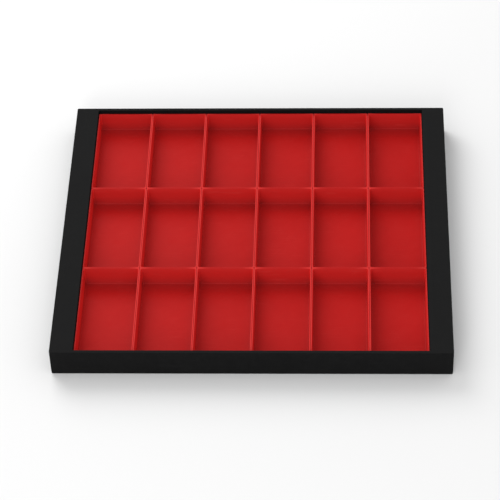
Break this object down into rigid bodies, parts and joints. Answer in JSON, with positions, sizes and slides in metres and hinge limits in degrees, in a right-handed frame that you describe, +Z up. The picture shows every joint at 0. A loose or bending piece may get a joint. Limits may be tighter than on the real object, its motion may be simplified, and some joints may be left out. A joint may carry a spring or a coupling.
{
  "type": "drawer divider insert",
  "caption": "Drawer insert: a dark foam surround with a rectangular window that holds a close-packed block of loose, lift-out moulded bins for sorting small parts.",
  "frame": {"origin": "middle of the underside, the face that lies on the drawer's floor", "axes": "+Z up, +X across the drawer to the right, -Y towards the person who opens the drawer"},
  "size_m": [0.5106, 0.4596, 0.04],
  "materials": {
    "bin_plastic": "satin",
    "foam_block": "matte",
    "foam_sheet": "matte"
  },
  "bodies": {
    "surround": {"foam_base": "foam_sheet", "foam_frame": "foam_block"},
    "bin_row1_column1": {"bin_row1_column1": "bin_plastic"},
    "bin_row1_column2": {"bin_row1_column2": "bin_plastic"},
    "bin_row1_column3": {"bin_row1_column3": "bin_plastic"},
    "bin_row1_column4": {"bin_row1_column4": "bin_plastic"},
    "bin_row1_column5": {"bin_row1_column5": "bin_plastic"},
    "bin_row1_column6": {"bin_row1_column6": "bin_plastic"},
    "bin_row2_column1": {"bin_row2_column1": "bin_plastic"},
    "bin_row2_column2": {"bin_row2_column2": "bin_plastic"},
    "bin_row2_column3": {"bin_row2_column3": "bin_plastic"},
    "bin_row2_column4": {"bin_row2_column4": "bin_plastic"},
    "bin_row2_column5": {"bin_row2_column5": "bin_plastic"},
    "bin_row2_column6": {"bin_row2_column6": "bin_plastic"},
    "bin_row3_column1": {"bin_row3_column1": "bin_plastic"},
    "bin_row3_column2": {"bin_row3_column2": "bin_plastic"},
    "bin_row3_column3": {"bin_row3_column3": "bin_plastic"},
    "bin_row3_column4": {"bin_row3_column4": "bin_plastic"},
    "bin_row3_column5": {"bin_row3_column5": "bin_plastic"},
    "bin_row3_column6": {"bin_row3_column6": "bin_plastic"}
  },
  "joints": [
    {"name": "lift_row1_column1", "type": "slide", "parent": "surround", "child": "bin_row1_column1", "axis": [0, 0, 1], "range_m": [0, 0.05]},
    {"name": "lift_row1_column2", "type": "slide", "parent": "surround", "child": "bin_row1_column2", "axis": [0, 0, 1], "range_m": [0, 0.05]},
    {"name": "lift_row1_column3", "type": "slide", "parent": "surround", "child": "bin_row1_column3", "axis": [0, 0, 1], "range_m": [0, 0.05]},
    {"name": "lift_row1_column4", "type": "slide", "parent": "surround", "child": "bin_row1_column4", "axis": [0, 0, 1], "range_m": [0, 0.05]},
    {"name": "lift_row1_column5", "type": "slide", "parent": "surround", "child": "bin_row1_column5", "axis": [0, 0, 1], "range_m": [0, 0.05]},
    {"name": "lift_row1_column6", "type": "slide", "parent": "surround", "child": "bin_row1_column6", "axis": [0, 0, 1], "range_m": [0, 0.05]},
    {"name": "lift_row2_column1", "type": "slide", "parent": "surround", "child": "bin_row2_column1", "axis": [0, 0, 1], "range_m": [0, 0.05]},
    {"name": "lift_row2_column2", "type": "slide", "parent": "surround", "child": "bin_row2_column2", "axis": [0, 0, 1], "range_m": [0, 0.05]},
    {"name": "lift_row2_column3", "type": "slide", "parent": "surround", "child": "bin_row2_column3", "axis": [0, 0, 1], "range_m": [0, 0.05]},
    {"name": "lift_row2_column4", "type": "slide", "parent": "surround", "child": "bin_row2_column4", "axis": [0, 0, 1], "range_m": [0, 0.05]},
    {"name": "lift_row2_column5", "type": "slide", "parent": "surround", "child": "bin_row2_column5", "axis": [0, 0, 1], "range_m": [0, 0.05]},
    {"name": "lift_row2_column6", "type": "slide", "parent": "surround", "child": "bin_row2_column6", "axis": [0, 0, 1], "range_m": [0, 0.05]},
    {"name": "lift_row3_column1", "type": "slide", "parent": "surround", "child": "bin_row3_column1", "axis": [0, 0, 1], "range_m": [0, 0.05]},
    {"name": "lift_row3_column2", "type": "slide", "parent": "surround", "child": "bin_row3_column2", "axis": [0, 0, 1], "range_m": [0, 0.05]},
    {"name": "lift_row3_column3", "type": "slide", "parent": "surround", "child": "bin_row3_column3", "axis": [0, 0, 1], "range_m": [0, 0.05]},
    {"name": "lift_row3_column4", "type": "slide", "parent": "surround", "child": "bin_row3_column4", "axis": [0, 0, 1], "range_m": [0, 0.05]},
    {"name": "lift_row3_column5", "type": "slide", "parent": "surround", "child": "bin_row3_column5", "axis": [0, 0, 1], "range_m": [0, 0.05]},
    {"name": "lift_row3_column6", "type": "slide", "parent": "surround", "child": "bin_row3_column6", "axis": [0, 0, 1], "range_m": [0, 0.05]}
  ]
}
